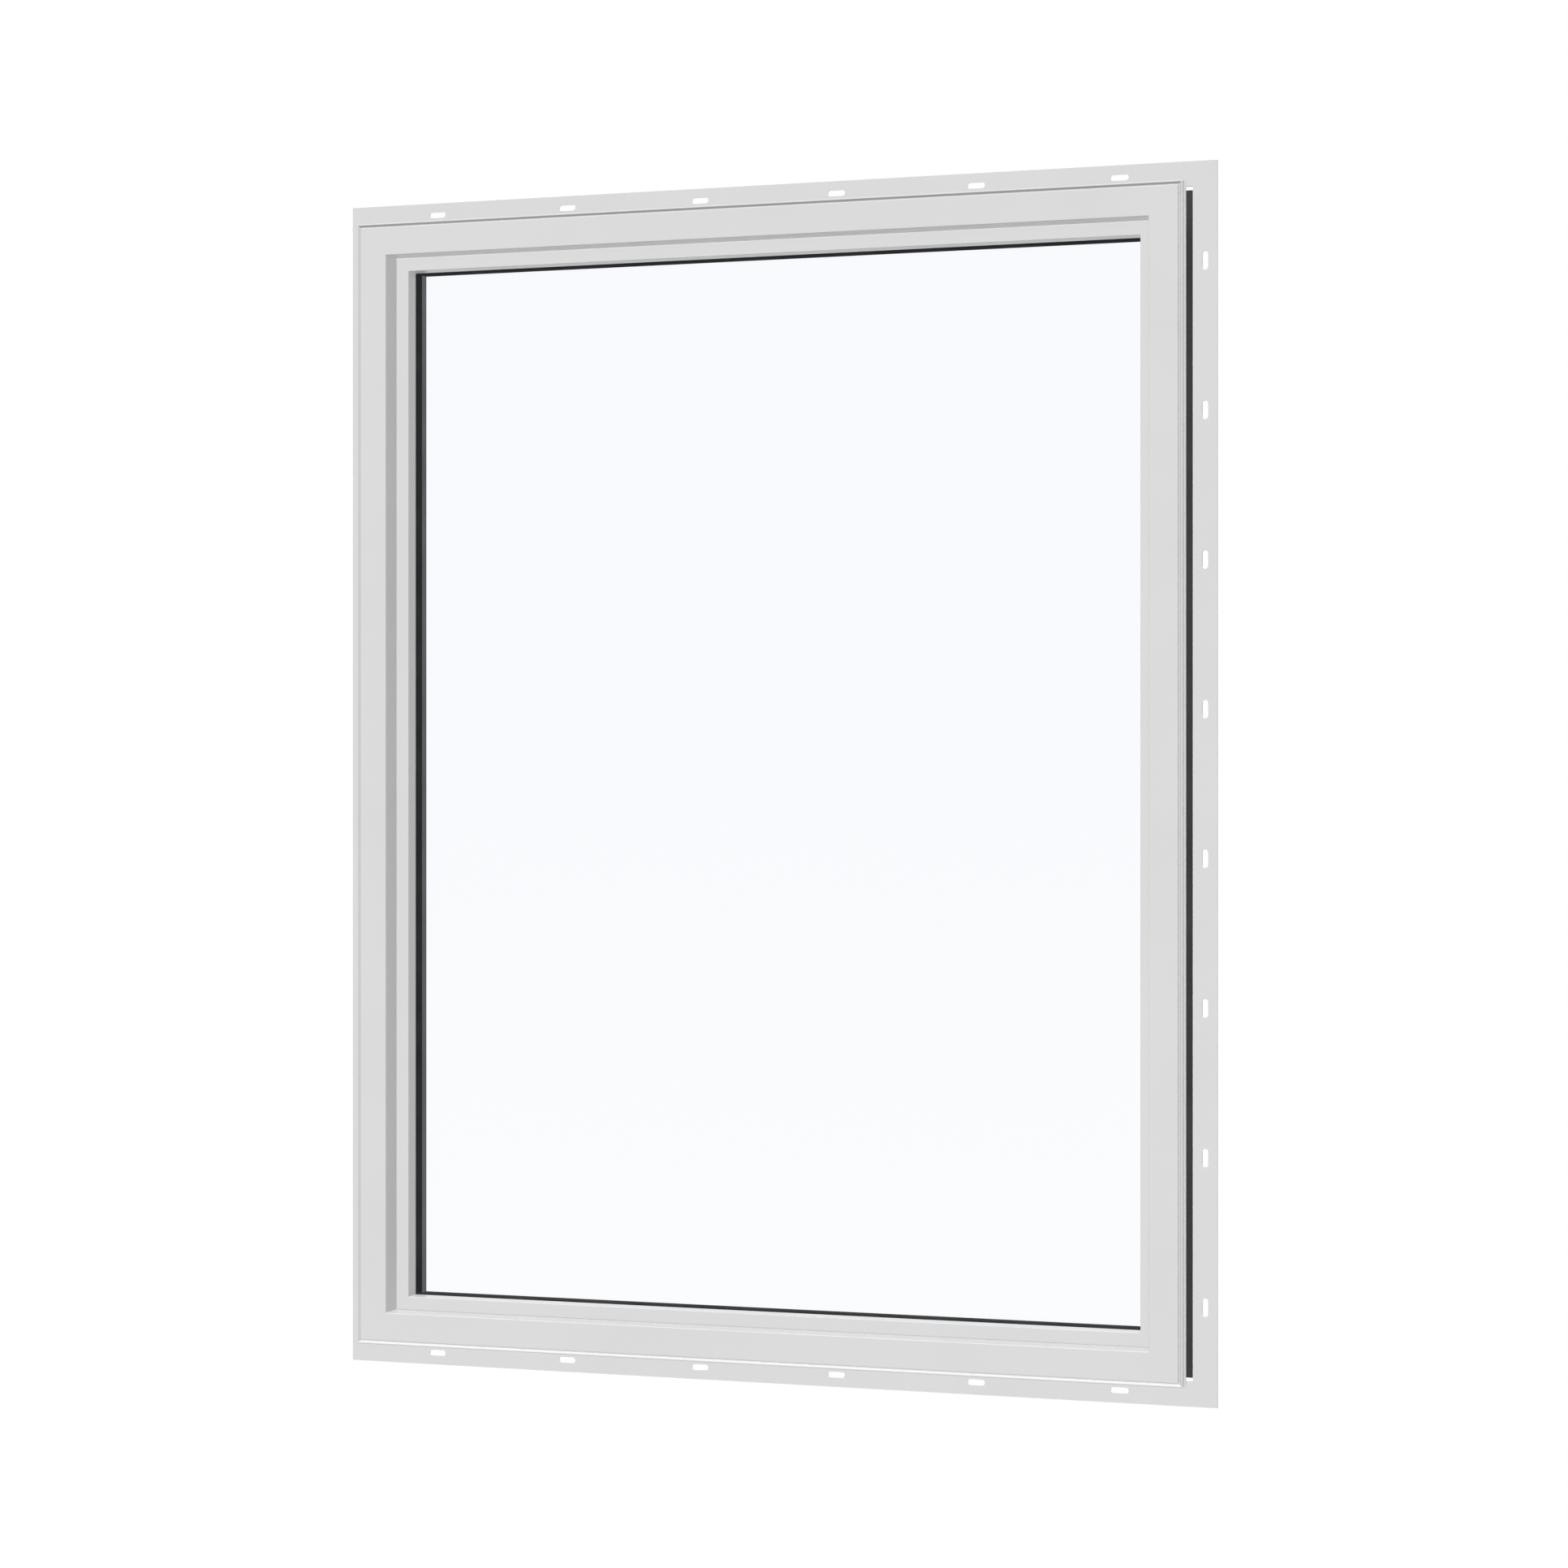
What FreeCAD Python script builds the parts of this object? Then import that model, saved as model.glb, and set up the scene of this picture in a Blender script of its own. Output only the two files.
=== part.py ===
# Fixed picture window with a nailing fin, white outside and black inside, in millimetres.
# +X is to the right seen from outdoors, +Y goes into the building, +Z is up.
# The origin lies on the back of the sill fin, midway along its row of nail slots.
import FreeCAD, Part
import math
import os
import Sketcher
from FreeCAD import Placement, Rotation, Vector

SIZES = (
    ("frame_width", 914.4, "frame over its outer sides, left to right"),
    ("frame_height", 1219.2, "frame over its outer sides, bottom to top"),
    ("fin_width", 25.4, "nailing fin beyond the frame's outer side"),
    ("fin_thickness", 3.0, "sheet of the nailing fin and of its return leg"),
    ("fin_lap", 11.0, "return leg over the side of the inner frame"),
    ("fin_leg_setback", 30.0, "end of the return leg short of the frame's corner"),
    ("slot_length", 19.05, "nail slot, end to end"),
    ("slot_width", 6.35, "nail slot across"),
    ("slot_pitch", 152.4, "nail slot to nail slot"),
    ("fin_setback", 46.7, "front face of the frame to the front of the fin"),
    ("face_inset", 5.4, "front face in from the frame's outer side"),
    ("face_width", 30.4, "flat front face"),
    ("face_outer_round", 0.6, "rounding of the front face's outer edge"),
    ("face_inner_round", 0.7, "rounding of the front face's inner edge"),
    ("groove_depth", 5.6, "shadow groove between the front face and the lip"),
    ("groove_width", 1.4, "floor of the shadow groove"),
    ("lip_drop", 1.0, "crest of the lip behind the front face"),
    ("lip_chamfer", 1.7, "slope from the lip's crest into the groove"),
    ("lip_round", 0.5, "rounding of the lip's outer edge"),
    ("lip_shoulder", 1.05, "ledge along the outside of the lip"),
    ("lip_height", 9.4, "crest of the lip to its ledge"),
    ("flange_depth", 13.9, "front face to the back of the flange that holds the siding"),
    ("pocket_depth", 15.9, "siding pocket, from the frame's outer side to its floor"),
    ("reveal_depth", 27.5, "front face to the glazing stop"),
    ("stop_width", 14.4, "glazing stop, from the frame to the sight line"),
    ("stop_depth", 19.0, "glazing stop, front to back"),
    ("stop_round", 0.5, "rounding of the glazing stop's front edges"),
    ("tongue_length", 3.0, "snap tongue of the glazing stop"),
    ("tongue_thickness", 3.0, "snap tongue of the glazing stop"),
    ("tongue_setback", 5.0, "snap tongue in front of the glazing stop's back"),
    ("tongue_clearance", 0.2, "room round the snap tongue in its groove"),
    ("gasket_thickness", 1.0, "gasket between the glazing stop and the glass"),
    ("tape_thickness", 1.3, "glazing tape between the glass and the inner frame"),
    ("seal_width", 9.5, "gasket and glazing tape across"),
    ("pane_thickness", 3.0, "each pane of glass"),
    ("spacer_width", 12.7, "gap between the panes"),
    ("spacer_height", 7.0, "spacer bar, from the sight line towards the edge of the glass"),
    ("glass_clearance", 3.2, "edge of the glass to the frame, the height of a setting block"),
    ("block_length", 100.0, "setting block under the glass"),
    ("inner_setback", 0.65, "sight edge of the inner frame short of the glazing stop's"),
    ("seat_rise", 4.2, "glass seat of the inner frame above its front"),
    ("inner_reveal_depth", 11.5, "straight part of the inner frame's sight edge"),
    ("inner_bevel", 6.7, "bevel round the room side of the inner frame"),
    ("inner_round", 1.0, "rounding of the inner frame's outer edge on the room side"),
)

# Depths along Y, from outdoors to indoors, with the back of the fin at zero
FIN_FRONT = "-Sizes.fin_thickness"
FACE = f"({FIN_FRONT} - Sizes.fin_setback)"
LIP_CREST = f"({FACE} + Sizes.lip_drop)"
LIP_LEDGE = f"({LIP_CREST} + Sizes.lip_height)"
GROOVE_FLOOR = f"({FACE} + Sizes.groove_depth)"
FLANGE_BACK = f"({FACE} + Sizes.flange_depth)"
STOP_FRONT = f"({FACE} + Sizes.reveal_depth)"
STOP_BACK = f"({STOP_FRONT} + Sizes.stop_depth)"
TONGUE_BACK = f"({STOP_BACK} - Sizes.tongue_setback)"
TONGUE_FRONT = f"({TONGUE_BACK} - Sizes.tongue_thickness)"
OUTER_PANE_FRONT = f"({STOP_BACK} + Sizes.gasket_thickness)"
OUTER_PANE_BACK = f"({OUTER_PANE_FRONT} + Sizes.pane_thickness)"
INNER_PANE_FRONT = f"({OUTER_PANE_BACK} + Sizes.spacer_width)"
INNER_PANE_BACK = f"({INNER_PANE_FRONT} + Sizes.pane_thickness)"
GLASS_SEAT = f"({INNER_PANE_BACK} + Sizes.tape_thickness)"
INNER_FRONT = f"({GLASS_SEAT} + Sizes.seat_rise)"
BEVEL_FRONT = f"({GLASS_SEAT} + Sizes.inner_reveal_depth)"
INNER_BACK = f"({BEVEL_FRONT} + Sizes.inner_bevel)"
LEG_END = f"({INNER_FRONT} + Sizes.fin_lap)"

# Insets from the frame's outer side towards the middle of the window
OUTER_SIDE = "0"
LIP_INNER = "(Sizes.face_inset - Sizes.groove_width)"
FACE_INNER = "(Sizes.face_inset + Sizes.face_width)"
TONGUE_TIP = f"({FACE_INNER} - Sizes.tongue_length)"
GLASS_EDGE = f"({FACE_INNER} + Sizes.glass_clearance)"
SIGHT_LINE = f"({FACE_INNER} + Sizes.stop_width)"
INNER_SIGHT = f"({SIGHT_LINE} - Sizes.inner_setback)"
SEAL_EDGE = f"({SIGHT_LINE} - Sizes.seal_width)"
SPACER_EDGE = f"({SIGHT_LINE} - Sizes.spacer_height)"

# Heights of the frame's outer sides and middle above the origin
SILL_SIDE = "(Sizes.fin_width / 2)"
MID_HEIGHT = f"({SILL_SIDE} + Sizes.frame_height / 2)"
HEAD_SIDE = f"({SILL_SIDE} + Sizes.frame_height)"

# The four sides of the window: name, turn about Y, length, and place of the outer side along X and Z
SIDES = (
    ("head", 180, "Sizes.frame_width", "0", HEAD_SIDE),
    ("sill", 0, "Sizes.frame_width", "0", SILL_SIDE),
    ("left_jamb", 90, "Sizes.frame_height", "-Sizes.frame_width / 2", MID_HEIGHT),
    ("right_jamb", -90, "Sizes.frame_height", "Sizes.frame_width / 2", MID_HEIGHT),
)

CUT_MARGIN = 5.0
SAME_PLACE = 0.001

doc = FreeCAD.newDocument("fixed_picture_window")
sheet = doc.addObject("Spreadsheet::Sheet", "Sizes")
for row, (alias, size, meaning) in enumerate(SIZES, start=1):
    sheet.set(f"A{row}", meaning)
    sheet.set(f"B{row}", str(size))
    sheet.setAlias(f"B{row}", alias)
doc.recompute()

subparts = []


def number(expression):
    """The present value of an expression that names cells of the sheet."""
    return float(doc.Sizes.evalExpression(expression))


def new_body(label):
    """An empty sub-part."""
    body = doc.addObject("PartDesign::Body", label)
    body.Label = label
    subparts.append(body)
    return body


def new_sketch(body, plane_role, name):
    """A sketch on one of the body's own origin planes."""
    plane = next(feature for feature in body.Origin.OriginFeatures if feature.Role == plane_role)
    sketch = body.newObject("Sketcher::SketchObject", name)
    sketch.AttachmentSupport = [(plane, "")]
    sketch.MapMode = "FlatFace"
    return sketch


def bind(sketch, kind, *where, to):
    """Add a dimension to a sketch and tie it to an expression."""
    index = sketch.addConstraint(Sketcher.Constraint(kind, *where, number(to)))
    sketch.setExpression(f"Constraints[{index}]", to)


def draw_outline(sketch, corners):
    """A closed outline of straight lines, each corner a pair of expressions."""
    points = [Vector(number(across), number(up), 0) for across, up in corners]
    first = sketch.GeometryCount
    for start, end in zip(points, points[1:] + points[:1]):
        sketch.addGeometry(Part.LineSegment(start, end), False)
    lines = list(range(first, sketch.GeometryCount))
    for line, next_line in zip(lines, lines[1:] + lines[:1]):
        sketch.addConstraint(Sketcher.Constraint("Coincident", line, 2, next_line, 1))
    for line, (across, up) in zip(lines, corners):
        bind(sketch, "DistanceX", -1, 1, line, 1, to=across)
        bind(sketch, "DistanceY", -1, 1, line, 1, to=up)


def draw_slot(sketch, centre_across, centre_up, length, width):
    """A round-ended slot along the sketch's first axis, sized and placed by expressions."""
    radius = f"({width} / 2)"
    reach = f"(({length} - {width}) / 2)"
    centre = Vector(number(centre_across), number(centre_up), 0)
    along = Vector(number(reach), 0, 0)
    lift = Vector(0, number(radius), 0)
    axis = Vector(0, 0, 1)
    quarter = math.pi / 2
    left_end = Part.Circle(centre - along, axis, lift.y)
    right_end = Part.Circle(centre + along, axis, lift.y)
    sketch.addGeometry(Part.ArcOfCircle(left_end, quarter, 3 * quarter), False)
    sketch.addGeometry(Part.LineSegment(centre - along - lift, centre + along - lift), False)
    sketch.addGeometry(Part.ArcOfCircle(right_end, -quarter, quarter), False)
    sketch.addGeometry(Part.LineSegment(centre + along + lift, centre - along + lift), False)
    for curve, next_curve in ((0, 1), (1, 2), (2, 3), (3, 0)):
        sketch.addConstraint(Sketcher.Constraint("Tangent", curve, 2, next_curve, 1))
    bind(sketch, "Radius", 0, to=radius)
    bind(sketch, "DistanceX", -1, 1, 0, 3, to=f"{centre_across} - {reach}")
    bind(sketch, "DistanceX", -1, 1, 2, 3, to=f"{centre_across} + {reach}")
    bind(sketch, "DistanceY", -1, 1, 0, 3, to=centre_up)
    bind(sketch, "DistanceY", -1, 1, 2, 3, to=centre_up)


def cut_through(body, sketch, name):
    """Cut a sketch's outlines right through a body, both ways from its plane."""
    before = body.Tip.Shape.Volume
    pocket = body.newObject("PartDesign::Pocket", name)
    pocket.Profile = sketch
    pocket.Type = "ThroughAll"
    pocket.SideType = "Symmetric"
    doc.recompute()
    if pocket.Shape.Volume >= before:
        raise RuntimeError(f"{body.Label}: {name} cuts nothing")
    return pocket


def round_edges(body, places, radius):
    """Round the long edges of an extrusion that run through the given depths and insets."""
    base = body.Tip
    wanted = [(number(depth), number(inset)) for depth, inset in places]
    names = []
    for index, edge in enumerate(base.Shape.Edges, start=1):
        middle = edge.CenterOfMass
        for depth, inset in wanted:
            if abs(middle.y - depth) < SAME_PLACE and abs(middle.z - inset) < SAME_PLACE:
                names.append(f"Edge{index}")
    if len(names) != len(wanted):
        raise RuntimeError(f"{body.Label}: found {len(names)} of {len(wanted)} edges to round")
    fillet = body.newObject("PartDesign::Fillet", "Rounding")
    fillet.Base = (base, names)
    fillet.setExpression("Radius", radius)
    doc.recompute()


def mitre_corners(length, reach, depth):
    """The two triangles beyond the mitres of a member, as outlines of expressions."""
    far = f"({length} / 2 + {reach} + {CUT_MARGIN})"
    near = f"({length} / 2 - {depth} - {CUT_MARGIN})"
    low = f"(-{reach} - {CUT_MARGIN})"
    high = f"({depth} + {CUT_MARGIN})"
    right_end = ((far, low), (far, high), (near, high))
    left_end = tuple((f"-{across}", up) for across, up in right_end)
    return right_end, left_end


def mitred_member(label, side, outline, depth=SIGHT_LINE, reach="0", rounds=()):
    """A straight extrusion along one side of the window, mitred at both ends.

    The outline's corners are pairs of depth and inset, the inset measured from the frame's
    outer side. The section lies between reach outside that side and depth inside it.
    """
    _, turn, length, place_x, place_z = side
    body = new_body(label)
    section = new_sketch(body, "YZ_Plane", "Section")
    draw_outline(section, outline)
    pad = body.newObject("PartDesign::Pad", "Extrusion")
    pad.Profile = section
    pad.SideType = "Symmetric"
    pad.setExpression("Length", f"{length} + 2 * {reach}")
    doc.recompute()
    for places, radius in rounds:
        round_edges(body, places, radius)
    ends = new_sketch(body, "XZ_Plane", "Mitres")
    for triangle in mitre_corners(length, reach, depth):
        draw_outline(ends, triangle)
    cut_through(body, ends, "MitreCut")
    body.Placement = Placement(Vector(), Rotation(Vector(0, 1, 0), turn))
    body.setExpression("Placement.Base.x", place_x)
    body.setExpression("Placement.Base.z", place_z)
    return body


def rectangle(front, back, outer, inner):
    """The outline of a rectangular section between two depths and two insets."""
    return (front, outer), (back, outer), (back, inner), (front, inner)


def outer_frame_member(side):
    """White outer frame: front face, shadow groove and lip, with the siding pocket behind."""
    groove_front = f"({TONGUE_FRONT} - Sizes.tongue_clearance)"
    groove_back = f"({TONGUE_BACK} + Sizes.tongue_clearance)"
    groove_end = f"({TONGUE_TIP} - Sizes.tongue_clearance)"
    outline = (
        (FACE, FACE_INNER),
        (FACE, "Sizes.face_inset"),
        (GROOVE_FLOOR, "Sizes.face_inset"),
        (GROOVE_FLOOR, LIP_INNER),
        (f"{LIP_CREST} + Sizes.lip_chamfer", LIP_INNER),
        (LIP_CREST, f"{LIP_INNER} - Sizes.lip_chamfer"),
        (LIP_CREST, "Sizes.lip_shoulder"),
        (LIP_LEDGE, "Sizes.lip_shoulder"),
        (LIP_LEDGE, OUTER_SIDE),
        (FLANGE_BACK, OUTER_SIDE),
        (FLANGE_BACK, "Sizes.pocket_depth"),
        (INNER_FRONT, "Sizes.pocket_depth"),
        (INNER_FRONT, FACE_INNER),
        (groove_back, FACE_INNER),
        (groove_back, groove_end),
        (groove_front, groove_end),
        (groove_front, FACE_INNER),
    )
    rounds = (
        ([(FACE, "Sizes.face_inset")], "Sizes.face_outer_round"),
        ([(FACE, FACE_INNER)], "Sizes.face_inner_round"),
        ([(LIP_CREST, "Sizes.lip_shoulder")], "Sizes.lip_round"),
    )
    mitred_member(f"outer_{side[0]}", side, outline, FACE_INNER, rounds=rounds)


def glazing_stop(side):
    """White glazing stop that snaps into the outer frame and holds the glass from outdoors."""
    outline = (
        (STOP_FRONT, FACE_INNER),
        (STOP_FRONT, SIGHT_LINE),
        (STOP_BACK, SIGHT_LINE),
        (STOP_BACK, FACE_INNER),
        (TONGUE_BACK, FACE_INNER),
        (TONGUE_BACK, TONGUE_TIP),
        (TONGUE_FRONT, TONGUE_TIP),
        (TONGUE_FRONT, FACE_INNER),
    )
    front_edges = [(STOP_FRONT, FACE_INNER), (STOP_FRONT, SIGHT_LINE)]
    mitred_member(f"{side[0]}_stop", side, outline, rounds=((front_edges, "Sizes.stop_round"),))


def inner_frame_member(side):
    """Black inner frame with a raised seat for the glass, bevelled on the room side."""
    outline = (
        (INNER_FRONT, OUTER_SIDE),
        (INNER_FRONT, FACE_INNER),
        (GLASS_SEAT, FACE_INNER),
        (GLASS_SEAT, INNER_SIGHT),
        (BEVEL_FRONT, INNER_SIGHT),
        (INNER_BACK, f"{INNER_SIGHT} - Sizes.inner_bevel"),
        (INNER_BACK, OUTER_SIDE),
    )
    rounds = (([(INNER_BACK, OUTER_SIDE)], "Sizes.inner_round"),)
    mitred_member(f"inner_{side[0]}", side, outline, rounds=rounds)


def nailing_fin(side):
    """White nailing fin: a slotted flange with a return leg on the side of the inner frame."""
    _, _, length, _, _ = side
    flange_edge = "-Sizes.fin_width"
    leg_face = "-Sizes.fin_thickness"
    outline = (
        (FIN_FRONT, flange_edge),
        ("0", flange_edge),
        ("0", leg_face),
        (LEG_END, leg_face),
        (LEG_END, OUTER_SIDE),
        (FIN_FRONT, OUTER_SIDE),
    )
    body = mitred_member(f"{side[0]}_fin", side, outline, "0", "Sizes.fin_width")

    leg_stop = f"({length} / 2 - Sizes.fin_leg_setback)"
    beyond = f"({length} / 2 + Sizes.fin_width)"
    leg_ends = new_sketch(body, "XY_Plane", "LegEnds")
    draw_outline(leg_ends, rectangle(leg_stop, beyond, "0", f"{LEG_END} + {CUT_MARGIN}"))
    draw_outline(leg_ends, rectangle(f"-{beyond}", f"-{leg_stop}", "0", f"{LEG_END} + {CUT_MARGIN}"))
    cut_through(body, leg_ends, "LegEndCut")

    count = f"floor({length} / Sizes.slot_pitch + {SAME_PLACE})"
    first_slot = f"-({count} - 1) / 2 * Sizes.slot_pitch"
    nail_slot = new_sketch(body, "XZ_Plane", "NailSlot")
    draw_slot(nail_slot, first_slot, "-Sizes.fin_width / 2", "Sizes.slot_length", "Sizes.slot_width")
    slot_cut = cut_through(body, nail_slot, "NailSlotCut")
    row = body.newObject("PartDesign::LinearPattern", "NailSlots")
    row.Originals = [slot_cut]
    row.Direction = (nail_slot, ["H_Axis"])
    row.Mode = "Spacing"
    row.setExpression("Offset", "Sizes.slot_pitch")
    row.setExpression("Occurrences", count)
    body.Tip = row
    doc.recompute()


def seals_and_spacer(side):
    """Rubber gasket outside the glass, glazing tape inside it, and the spacer between the panes."""
    name = side[0]
    gasket = rectangle(STOP_BACK, OUTER_PANE_FRONT, SEAL_EDGE, SIGHT_LINE)
    spacer = rectangle(OUTER_PANE_BACK, INNER_PANE_FRONT, SPACER_EDGE, SIGHT_LINE)
    tape = rectangle(INNER_PANE_BACK, GLASS_SEAT, SEAL_EDGE, INNER_SIGHT)
    mitred_member(f"{name}_gasket", side, gasket)
    mitred_member(f"{name}_spacer", side, spacer)
    mitred_member(f"{name}_tape", side, tape)


def block(label, x, y, z, length, width, height):
    """A plain box, from its low corner and its sizes along X, Y and Z."""
    box = doc.addObject("Part::Box", label)
    box.Label = label
    for name, expression in (("Length", length), ("Width", width), ("Height", height)):
        box.setExpression(name, expression)
    for axis, expression in (("x", x), ("y", y), ("z", z)):
        box.setExpression(f"Placement.Base.{axis}", expression)
    subparts.append(box)


def glass():
    """Two panes of clear glass, on two setting blocks that lie on the sill of the outer frame."""
    width = f"(Sizes.frame_width - 2 * {GLASS_EDGE})"
    height = f"(Sizes.frame_height - 2 * {GLASS_EDGE})"
    bottom = f"({SILL_SIDE} + {GLASS_EDGE})"
    for label, front in (("outer_pane", OUTER_PANE_FRONT), ("inner_pane", INNER_PANE_FRONT)):
        block(label, f"-{width} / 2", front, bottom, width, "Sizes.pane_thickness", height)
    unit_depth = f"({INNER_PANE_BACK} - {OUTER_PANE_FRONT})"
    seat = f"({SILL_SIDE} + {FACE_INNER})"
    for name, quarter in (("left", f"(-{width} / 4)"), ("right", f"({width} / 4)")):
        start = f"({quarter} - Sizes.block_length / 2)"
        label = f"{name}_setting_block"
        block(label, start, OUTER_PANE_FRONT, seat, "Sizes.block_length", unit_depth, "Sizes.glass_clearance")


for window_side in SIDES:
    outer_frame_member(window_side)
    inner_frame_member(window_side)
    nailing_fin(window_side)
    seals_and_spacer(window_side)
    glazing_stop(window_side)
glass()
doc.recompute()

for item in doc.Objects:
    if "Invalid" in item.State or "Error" in item.State:
        raise RuntimeError(f"{item.Label} failed: {item.State}")
for subpart in subparts:
    if subpart.Shape.isNull() or not subpart.Shape.isValid():
        raise RuntimeError(f"{subpart.Label} has no valid shape")

os.makedirs("parts", exist_ok=True)
for subpart in subparts:
    subpart.Shape.exportStep(f"parts/{subpart.Label}.step")
print(f"{len(subparts)} sub-parts written")
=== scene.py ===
import math

import bmesh
import bpy
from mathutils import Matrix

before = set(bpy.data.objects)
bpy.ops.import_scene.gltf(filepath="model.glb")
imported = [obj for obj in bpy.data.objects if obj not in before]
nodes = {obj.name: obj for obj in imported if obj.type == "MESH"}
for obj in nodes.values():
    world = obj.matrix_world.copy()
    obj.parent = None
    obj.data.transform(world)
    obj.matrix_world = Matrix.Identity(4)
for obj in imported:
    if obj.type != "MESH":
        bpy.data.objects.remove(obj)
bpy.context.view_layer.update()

# Outer frame: the white stepped surround that is seen from outdoors. Four lengths of solid-coloured
# vinyl are pushed through one die, cut at 45 degrees and welded at the corners, so they keep a satin
# skin with faint lines along each length and no paint.
WHITE_LIGHT = (0.707, 0.707, 0.707, 1)
WHITE_DEEP = (0.693, 0.693, 0.692, 1)
WHITE_SMOOTH = 0.27
WHITE_ROUGH = 0.33
WHITE_SHEEN = 0.2
CLOUD_SCALE = 9
SKIN_SCALE = 260
DIE_LINE_SCALE = 700
RIPPLE_SCALE = 420
# Here and below, a relief is its depth in metres and its strength.
DIE_LINE_RELIEF = (0.00002, 0.06)
RIPPLE_RELIEF = (0.00002, 0.04)
# A die line runs the whole length of a member, so its pattern is drawn out along that length.
DRAWN_OUT = 0.02
ALONG = {"across": (DRAWN_OUT, 1, 1), "upright": (1, 1, DRAWN_OUT)}


def joined(tree, out, into):
    """Links one node's output to another node's input."""
    tree.links.new(out, into)


def new_finish(name):
    """An empty node material with its surface shader, and object coordinates to lay patterns on."""
    finish = bpy.data.materials.new(name)
    finish.use_nodes = True
    tree = finish.node_tree
    surface = tree.nodes["Principled BSDF"]
    place = tree.nodes.new("ShaderNodeTexCoord")
    return finish, tree, surface, place.outputs["Object"]


def pattern(tree, place, scale, detail, stretch=(1, 1, 1)):
    """A noise pattern with this many features to the metre, drawn out along an axis by a small stretch."""
    mapping = tree.nodes.new("ShaderNodeMapping")
    mapping.inputs["Scale"].default_value = stretch
    joined(tree, place, mapping.inputs["Vector"])
    noise = tree.nodes.new("ShaderNodeTexNoise")
    noise.inputs["Scale"].default_value = scale
    noise.inputs["Detail"].default_value = detail
    joined(tree, mapping.outputs["Vector"], noise.inputs["Vector"])
    return noise.outputs["Fac"]


def colour_between(tree, factor, low, high, start=0.35, end=0.65):
    """A colour that goes from low to high as the pattern goes from start to end."""
    ramp = tree.nodes.new("ShaderNodeValToRGB")
    first, last = ramp.color_ramp.elements
    first.position, first.color = start, low
    last.position, last.color = end, high
    joined(tree, factor, ramp.inputs["Fac"])
    return ramp.outputs["Color"]


def number_between(tree, factor, low, high, start=0.3, end=0.7):
    """A number that goes from low to high as the pattern goes from start to end."""
    span = tree.nodes.new("ShaderNodeMapRange")
    span.inputs["From Min"].default_value = start
    span.inputs["From Max"].default_value = end
    span.inputs["To Min"].default_value = low
    span.inputs["To Max"].default_value = high
    joined(tree, factor, span.inputs["Value"])
    return span.outputs["Result"]


def raised(tree, height, depth, strength, under=None):
    """A relief of this depth in metres, laid over another relief if one is given."""
    relief = tree.nodes.new("ShaderNodeBump")
    relief.inputs["Strength"].default_value = strength
    relief.inputs["Distance"].default_value = depth
    joined(tree, height, relief.inputs["Height"])
    if under is not None:
        joined(tree, under, relief.inputs["Normal"])
    return relief.outputs["Normal"]


def white_vinyl(name, run, deep, light, matt):
    """Satin white vinyl with die lines along its run; matt raises its roughness."""
    finish, tree, surface, place = new_finish(name)
    cloud = pattern(tree, place, CLOUD_SCALE, detail=3)
    joined(tree, colour_between(tree, cloud, deep, light), surface.inputs["Base Color"])
    skin = pattern(tree, place, SKIN_SCALE, detail=4)
    roughness = number_between(tree, skin, WHITE_SMOOTH + matt, WHITE_ROUGH + matt)
    joined(tree, roughness, surface.inputs["Roughness"])
    surface.inputs["Specular IOR Level"].default_value = WHITE_SHEEN
    die_lines = pattern(tree, place, DIE_LINE_SCALE, detail=2, stretch=ALONG[run])
    relief = raised(tree, die_lines, *DIE_LINE_RELIEF)
    ripples = pattern(tree, place, RIPPLE_SCALE, detail=1)
    relief = raised(tree, ripples, *RIPPLE_RELIEF, under=relief)
    joined(tree, relief, surface.inputs["Normal"])
    return finish


def finish_node(name, finish):
    """Gives a CAD node its finish in every slot that it has."""
    for slot in nodes[name].material_slots:
        slot.material = finish


FRAME_WHITE = {
    run: white_vinyl(f"white_vinyl_{run}", run, WHITE_DEEP, WHITE_LIGHT, matt=0.0) for run in ALONG
}
RUN_OF_SIDE = {"head": "across", "sill": "across", "left_jamb": "upright", "right_jamb": "upright"}
for side, run in RUN_OF_SIDE.items():
    finish_node(f"outer_{side}", FRAME_WHITE[run])
    # In the photo each white face keeps one level, with no light thrown from face to face.
    nodes[f"outer_{side}"].visible_diffuse = False

# Glazing stops: four white vinyl strips that press the glass home from outdoors. They come from the
# same white as the frame, are mitred to meet at the corners and snap into a slot by a tongue.
for side, run in RUN_OF_SIDE.items():
    finish_node(f"{side}_stop", FRAME_WHITE[run])
    nodes[f"{side}_stop"].visible_diffuse = False

# Nailing fin: the thin slotted flange round the frame that is nailed to the wall under the siding.
# It is white vinyl sheet with its nail slots punched out, a little more matt than the frame.
FIN_LIGHT = (0.706, 0.706, 0.706, 1)
FIN_DEEP = (0.692, 0.692, 0.691, 1)
FIN_MATT = 0.06
FIN_WHITE = {
    run: white_vinyl(f"fin_vinyl_{run}", run, FIN_DEEP, FIN_LIGHT, FIN_MATT) for run in ALONG
}
for side, run in RUN_OF_SIDE.items():
    finish_node(f"{side}_fin", FIN_WHITE[run])

# Inner frame: the black members on the room side that the glass is bedded against. Their vinyl has a
# black acrylic skin with a fine embossed grain, dull enough to show no highlight.
BLACK_SKIN = (0.044, 0.045, 0.047, 1)
BLACK_WORN = (0.055, 0.056, 0.058, 1)
BLACK_ROUGHNESS = (0.72, 0.84)
NO_SHEEN = 0.0
SCUFF_SCALE = 14
GRAIN_SCALE = 900
SKIN_LINE_SCALE = 500
GRAIN_RELIEF = (0.00005, 0.35)
SKIN_LINE_RELIEF = (0.00004, 0.3)


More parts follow.
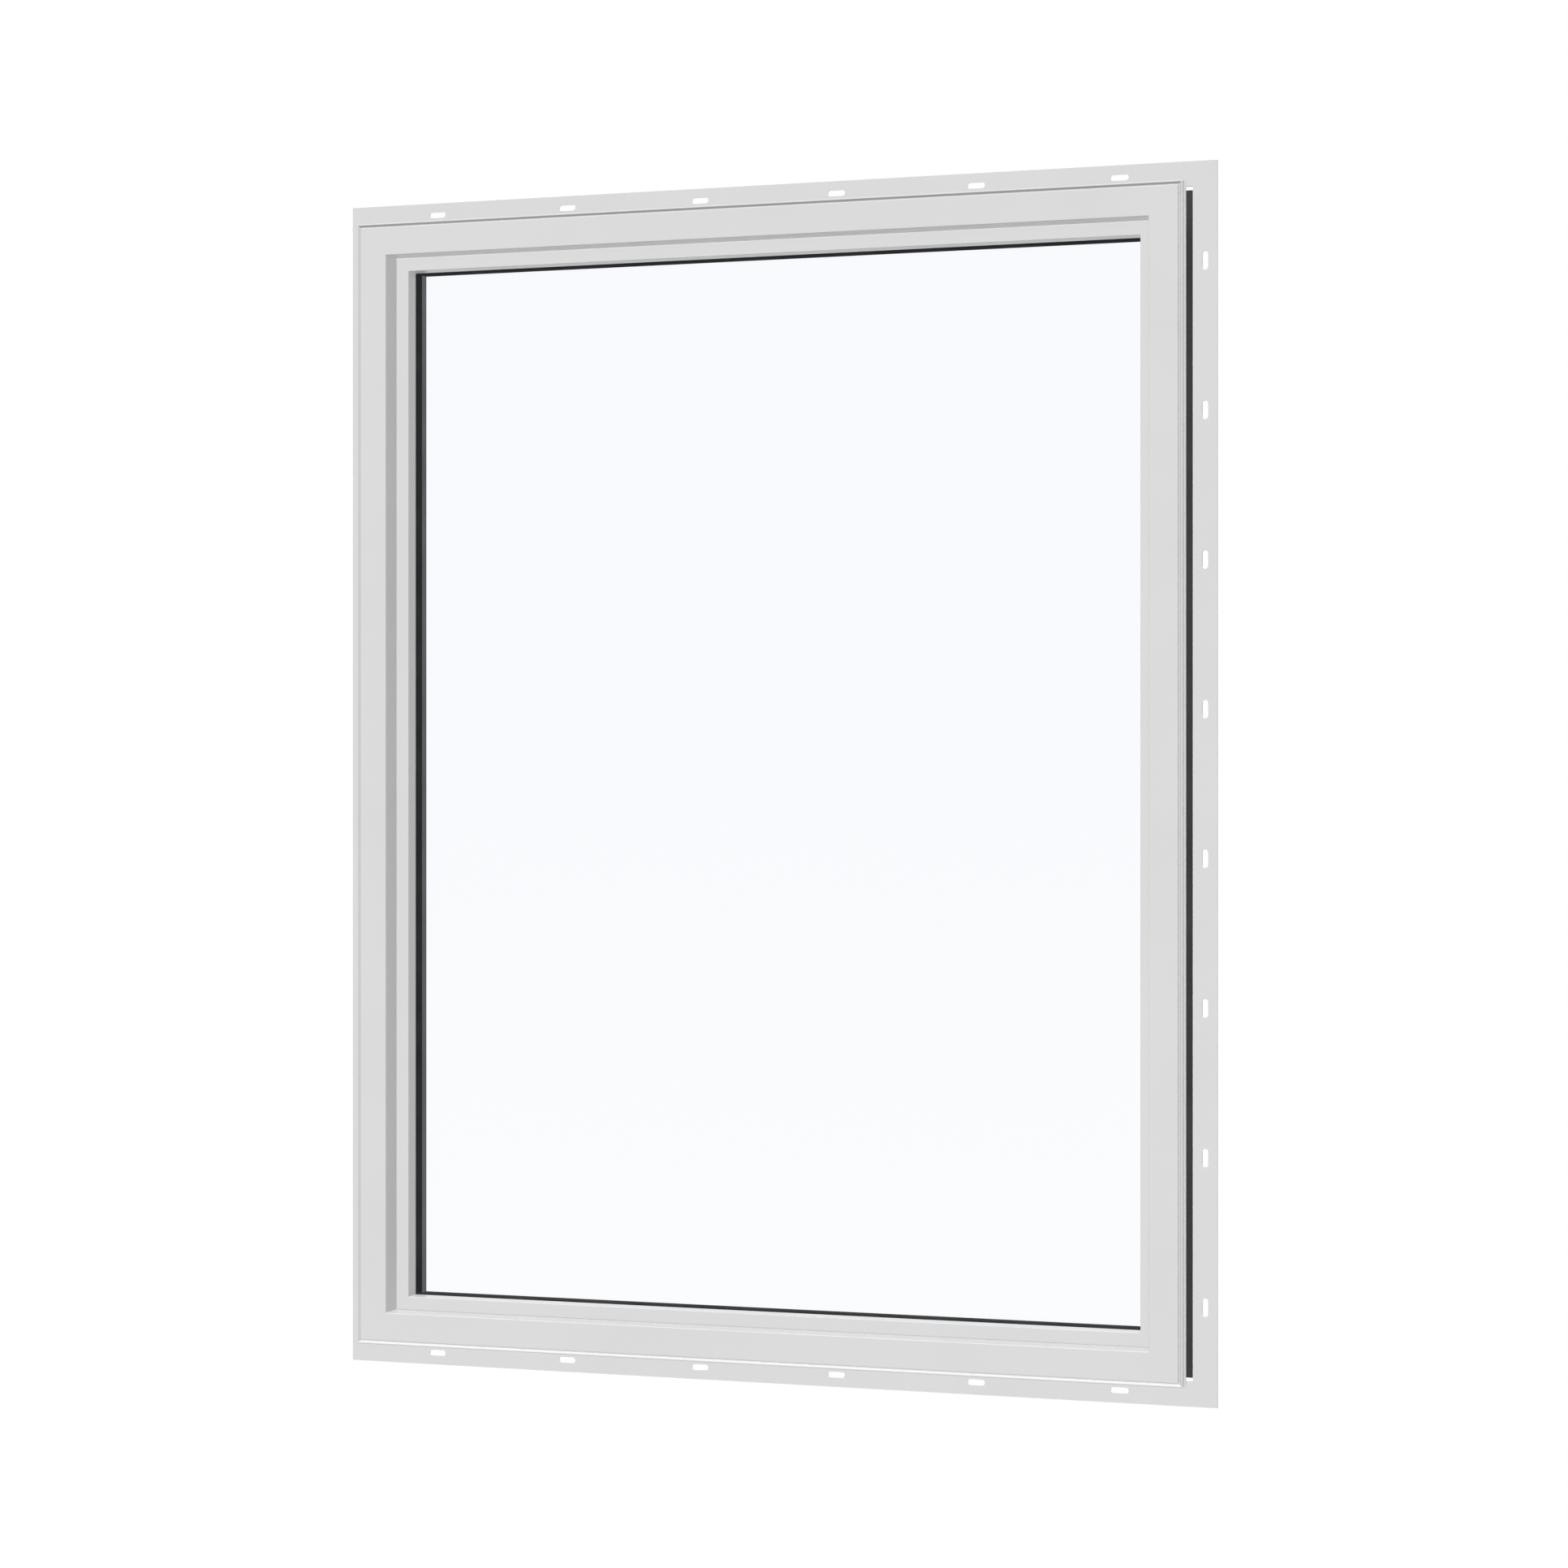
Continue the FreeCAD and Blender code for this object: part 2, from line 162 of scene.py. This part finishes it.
def black_skin(name, run):
    """Dull black skin with a fine grain and faint lines along its run."""
    finish, tree, surface, place = new_finish(name)
    scuffs = pattern(tree, place, SCUFF_SCALE, detail=4)
    joined(tree, colour_between(tree, scuffs, BLACK_SKIN, BLACK_WORN), surface.inputs["Base Color"])
    grain = pattern(tree, place, GRAIN_SCALE, detail=5)
    joined(tree, number_between(tree, grain, *BLACK_ROUGHNESS), surface.inputs["Roughness"])
    surface.inputs["Specular IOR Level"].default_value = NO_SHEEN
    skin_lines = pattern(tree, place, SKIN_LINE_SCALE, detail=2, stretch=ALONG[run])
    relief = raised(tree, skin_lines, *SKIN_LINE_RELIEF)
    relief = raised(tree, grain, *GRAIN_RELIEF, under=relief)
    joined(tree, relief, surface.inputs["Normal"])
    return finish


FRAME_BLACK = {run: black_skin(f"black_skin_{run}", run) for run in ALONG}
for side, run in RUN_OF_SIDE.items():
    finish_node(f"inner_{side}", FRAME_BLACK[run])

# Gaskets: thin strips of black rubber between each stop and the outer pane. They are squeezed out in
# long lengths, so the rubber is dull and finely lined along its run.
RUBBER_DARK = (0.028, 0.028, 0.029, 1)
RUBBER_PALE = (0.042, 0.042, 0.043, 1)
RUBBER_ROUGHNESS = (0.72, 0.85)
BLOOM_SCALE = 60
RUBBER_LINE_SCALE = 1600
RUBBER_LINE_RELIEF = (0.00006, 0.5)


def black_rubber(name, run):
    """Dull black rubber with fine lines along its run."""
    finish, tree, surface, place = new_finish(name)
    bloom = pattern(tree, place, BLOOM_SCALE, detail=4)
    joined(tree, colour_between(tree, bloom, RUBBER_DARK, RUBBER_PALE), surface.inputs["Base Color"])
    joined(tree, number_between(tree, bloom, *RUBBER_ROUGHNESS), surface.inputs["Roughness"])
    surface.inputs["Specular IOR Level"].default_value = NO_SHEEN
    rubber_lines = pattern(tree, place, RUBBER_LINE_SCALE, detail=2, stretch=ALONG[run])
    joined(tree, raised(tree, rubber_lines, *RUBBER_LINE_RELIEF), surface.inputs["Normal"])
    return finish


RUBBER = {run: black_rubber(f"black_rubber_{run}", run) for run in ALONG}
for side, run in RUN_OF_SIDE.items():
    finish_node(f"{side}_gasket", RUBBER[run])

# Glazing tape: a soft closed-cell foam tape, black, that beds the inner pane on the inner frame. Its
# cut edge shows fine cells and it has no gloss.
FOAM_DARK = (0.022, 0.022, 0.023, 1)
FOAM_PALE = (0.046, 0.046, 0.047, 1)
FOAM_ROUGHNESS = (0.95, 0.8)
CELL_SCALE = 2200
CELL_SPAN = (0.1, 0.7)
CELL_RELIEF = (0.00012, 0.5)
tape_finish, tree, surface, place = new_finish("foam_tape")
cell_texture = tree.nodes.new("ShaderNodeTexVoronoi")
cell_texture.inputs["Scale"].default_value = CELL_SCALE
joined(tree, place, cell_texture.inputs["Vector"])
cells = cell_texture.outputs["Distance"]
joined(tree, colour_between(tree, cells, FOAM_DARK, FOAM_PALE, *CELL_SPAN), surface.inputs["Base Color"])
joined(tree, number_between(tree, cells, *FOAM_ROUGHNESS), surface.inputs["Roughness"])
surface.inputs["Specular IOR Level"].default_value = NO_SHEEN
joined(tree, raised(tree, cells, *CELL_RELIEF), surface.inputs["Normal"])
for side in RUN_OF_SIDE:
    finish_node(f"{side}_tape", tape_finish)

# Spacer bars: the black warm-edge bars that hold the two panes apart and keep the space between them
# dry. They are rolled plastic-faced strip with a fine cross ribbing.
SPACER_DARK = (0.030, 0.030, 0.032, 1)
SPACER_PALE = (0.040, 0.040, 0.042, 1)
SPACER_ROUGHNESS = (0.72, 0.85)
SPACER_CLOUD_SCALE = 30
RIB_SCALE = 180
RIB_WANDER = 0.4
RIB_RELIEF = (0.00015, 0.4)


def spacer_strip(name, run):
    """Dull black strip with a fine rib across its run."""
    finish, tree, surface, place = new_finish(name)
    cloud = pattern(tree, place, SPACER_CLOUD_SCALE, detail=3)
    joined(tree, colour_between(tree, cloud, SPACER_DARK, SPACER_PALE), surface.inputs["Base Color"])
    joined(tree, number_between(tree, cloud, *SPACER_ROUGHNESS), surface.inputs["Roughness"])
    surface.inputs["Specular IOR Level"].default_value = NO_SHEEN
    ribs = tree.nodes.new("ShaderNodeTexWave")
    ribs.bands_direction = "X" if run == "across" else "Z"
    ribs.inputs["Scale"].default_value = RIB_SCALE
    ribs.inputs["Distortion"].default_value = RIB_WANDER
    joined(tree, place, ribs.inputs["Vector"])
    joined(tree, raised(tree, ribs.outputs["Fac"], *RIB_RELIEF), surface.inputs["Normal"])
    return finish


SPACER = {run: spacer_strip(f"spacer_strip_{run}", run) for run in ALONG}
for side, run in RUN_OF_SIDE.items():
    finish_node(f"{side}_spacer", SPACER[run])

# Glass: two panes of clear float glass, sealed to the spacer as one unit. Float glass is very slightly
# blue in its depth. Higher up a painted reflection makes it a little bluer and darker, as in the photo.
# Its faces have the faintest draw wave from the line it was made on.
GLASS_LOW = (0.979, 0.986, 0.995, 1)
GLASS_HIGH_PAINTED_REFLECTION = (0.969, 0.978, 0.991, 1)
PAINTED_REFLECTION_HEIGHTS = (0.15, 0.65)
QUIET_COAT = (0.07, 0.07, 0.07, 1)
GLASS_INDEX = 1.5
FILM_SCALE = 5
FILM_HAZE = (0.0, 0.012)
DRAW_WAVE_SCALE = 4
DRAW_WAVE_STRETCH = (1, 1, 0.3)
DRAW_WAVE_RELIEF = (0.0002, 0.02)
glass_finish, tree, surface, place = new_finish("clear_glass")
height = tree.nodes.new("ShaderNodeSeparateXYZ")
joined(tree, place, height.inputs["Vector"])
# Painted reflection: the glass colour goes from its own faint blue low down to bluer and darker higher up.
tint_and_painted_reflection = colour_between(tree, height.outputs["Z"], GLASS_LOW, GLASS_HIGH_PAINTED_REFLECTION, *PAINTED_REFLECTION_HEIGHTS)
joined(tree, tint_and_painted_reflection, surface.inputs["Base Color"])
surface.inputs["Transmission Weight"].default_value = 1.0
surface.inputs["IOR"].default_value = GLASS_INDEX
surface.inputs["Specular Tint"].default_value = QUIET_COAT
film = pattern(tree, place, FILM_SCALE, detail=3)
joined(tree, number_between(tree, film, *FILM_HAZE), surface.inputs["Roughness"])
draw_wave = pattern(tree, place, DRAW_WAVE_SCALE, detail=1, stretch=DRAW_WAVE_STRETCH)
joined(tree, raised(tree, draw_wave, *DRAW_WAVE_RELIEF), surface.inputs["Normal"])
for pane in ("outer_pane", "inner_pane"):
    finish_node(pane, glass_finish)
    # Scattered light goes straight through, so that a lamp counts once on what lies behind the glass.
    nodes[pane].visible_diffuse = False

# Setting blocks: two rubber blocks under the glass that keep its weight off the sill. They are cut
# from firm black rubber and are hidden once the stops are in.
finish_node("left_setting_block", RUBBER["across"])
finish_node("right_setting_block", RUBBER["across"])

# Floor: a plain pale studio floor, as far below the window as the floor of a room would be. It shows
# near white to the camera and in glass, takes the window's soft shadow from the lamp overhead, and
# throws no light back up.
FLOOR_LEVEL = -0.9
FLOOR_RADIUS = 2.2
FLOOR_SEGMENTS = 96
FLOOR_GLOW = 0.6
FLOOR_DEEP = (0.38, 0.38, 0.38, 1)
FLOOR_LIGHT = (0.42, 0.42, 0.42, 1)
FLOOR_ROUGHNESS = 0.9
FLOOR_CLOUD_SCALE = 3


def calculated(tree, operation, first, second):
    """A sum done on two values, each a node's output or a plain number."""
    sum_node = tree.nodes.new("ShaderNodeMath")
    sum_node.operation = operation
    for value, into in zip((first, second), sum_node.inputs):
        if isinstance(value, bpy.types.NodeSocket):
            joined(tree, value, into)
        else:
            into.default_value = value
    return sum_node.outputs["Value"]


def seen_directly(tree):
    """One for what the camera sees, in glass and mirrors too, and zero for the light on dull surfaces."""
    ray = tree.nodes.new("ShaderNodeLightPath").outputs
    mirrored = calculated(tree, "MAXIMUM", ray["Is Glossy Ray"], ray["Is Transmission Ray"])
    seen = calculated(tree, "MAXIMUM", ray["Is Camera Ray"], mirrored)
    unscattered = calculated(tree, "LESS_THAN", ray["Diffuse Depth"], 0.5)
    return calculated(tree, "MULTIPLY", seen, unscattered)


def blended(tree, factor, shader, other):
    """The first shader at a factor of zero, going over to the other at one."""
    blend = tree.nodes.new("ShaderNodeMixShader")
    joined(tree, factor, blend.inputs["Fac"])
    joined(tree, shader, blend.inputs[1])
    joined(tree, other, blend.inputs[2])
    return blend.outputs["Shader"]


floor_mesh = bpy.data.meshes.new("floor")
shape = bmesh.new()
bmesh.ops.create_circle(shape, cap_ends=True, segments=FLOOR_SEGMENTS, radius=FLOOR_RADIUS)
bmesh.ops.translate(shape, verts=shape.verts, vec=(0, 0, FLOOR_LEVEL))
shape.to_mesh(floor_mesh)
shape.free()
floor = bpy.data.objects.new("floor", floor_mesh)
bpy.context.scene.collection.objects.link(floor)
floor_finish, tree, surface, place = new_finish("floor_white")
surface.inputs["Roughness"].default_value = FLOOR_ROUGHNESS
floor_cloud = pattern(tree, place, FLOOR_CLOUD_SCALE, detail=2)
joined(tree, colour_between(tree, floor_cloud, FLOOR_DEEP, FLOOR_LIGHT), surface.inputs["Base Color"])
glow = tree.nodes.new("ShaderNodeEmission")
share = calculated(tree, "MULTIPLY", seen_directly(tree), FLOOR_GLOW)
shown = blended(tree, share, surface.outputs["BSDF"], glow.outputs["Emission"])
joined(tree, shown, tree.nodes["Material Output"].inputs["Surface"])
floor_mesh.materials.append(floor_finish)
floor.visible_diffuse = False

# Studio light: an even white surround at a plain level, a high key on the outdoor side, weak fills from
# the right, below and the room, one that only the black left reveal takes, and a lamp overhead that
# only the floor takes, with the window's shadow. The surround is white to the camera, and in glass.
WHITE = (1, 1, 1, 1)
AMBIENT = 0.2
LAMP_SOFTNESS = 3
# Each lamp's name and strength, and in degrees its rise above level and its turn from straight ahead.
LAMPS = (
    ("key", 3.75, 47.5, 0),
    ("overhead", 3.0, 84, 0),
    ("right_fill", 1.4, 0, 120),
    ("low_fill", 1.05, -90, 0),
    ("room_fill", 0.8, 0, 180),
    ("reveal_fill", 5.0, 0, 90),
)
world = bpy.data.worlds.new("studio")
bpy.context.scene.world = world
world.use_nodes = True
tree = world.node_tree
ambient = tree.nodes["Background"]
ambient.inputs["Color"].default_value = WHITE
ambient.inputs["Strength"].default_value = AMBIENT
backdrop = tree.nodes.new("ShaderNodeBackground")
backdrop.inputs["Color"].default_value = WHITE
surround = blended(
    tree, seen_directly(tree), ambient.outputs["Background"], backdrop.outputs["Background"]
)
joined(tree, surround, tree.nodes["World Output"].inputs["Surface"])
for name, strength, rise, turn in LAMPS:
    lamp_data = bpy.data.lights.new(name, "SUN")
    lamp_data.energy = strength
    lamp_data.angle = math.radians(LAMP_SOFTNESS)
    lamp_data.use_shadow = name == "overhead"
    lamp = bpy.data.objects.new(name, lamp_data)
    lamp.rotation_euler = (math.radians(90 - rise), 0, math.radians(turn))
    lamp.visible_glossy = False
    lamp.visible_transmission = False
    bpy.context.scene.collection.objects.link(lamp)
for name, lit in (("overhead", floor), ("reveal_fill", nodes["inner_left_jamb"])):
    takers = bpy.data.collections.new(f"{name}_takers")
    takers.objects.link(lit)
    bpy.data.objects[name].light_linking.receiver_collection = takers

# Camera: level with the middle of the window and off to its right, as in the photograph. Its place,
# turn and lens were fitted to the corners, slots and edges that the photo shows.
CAMERA_PLACE = (1.19483, -3.55601, 0.6223)
CAMERA_TURN = 18.322
SENSOR_WIDTH = 36
LENS = 81.193
camera_data = bpy.data.cameras.new("camera")
camera_data.sensor_width = SENSOR_WIDTH
camera_data.lens = LENS
camera = bpy.data.objects.new("camera", camera_data)
camera.location = CAMERA_PLACE
camera.rotation_euler = (math.radians(90), 0, math.radians(CAMERA_TURN))
bpy.context.scene.collection.objects.link(camera)
bpy.context.scene.camera = camera
bpy.context.scene.view_settings.view_transform = "Standard"
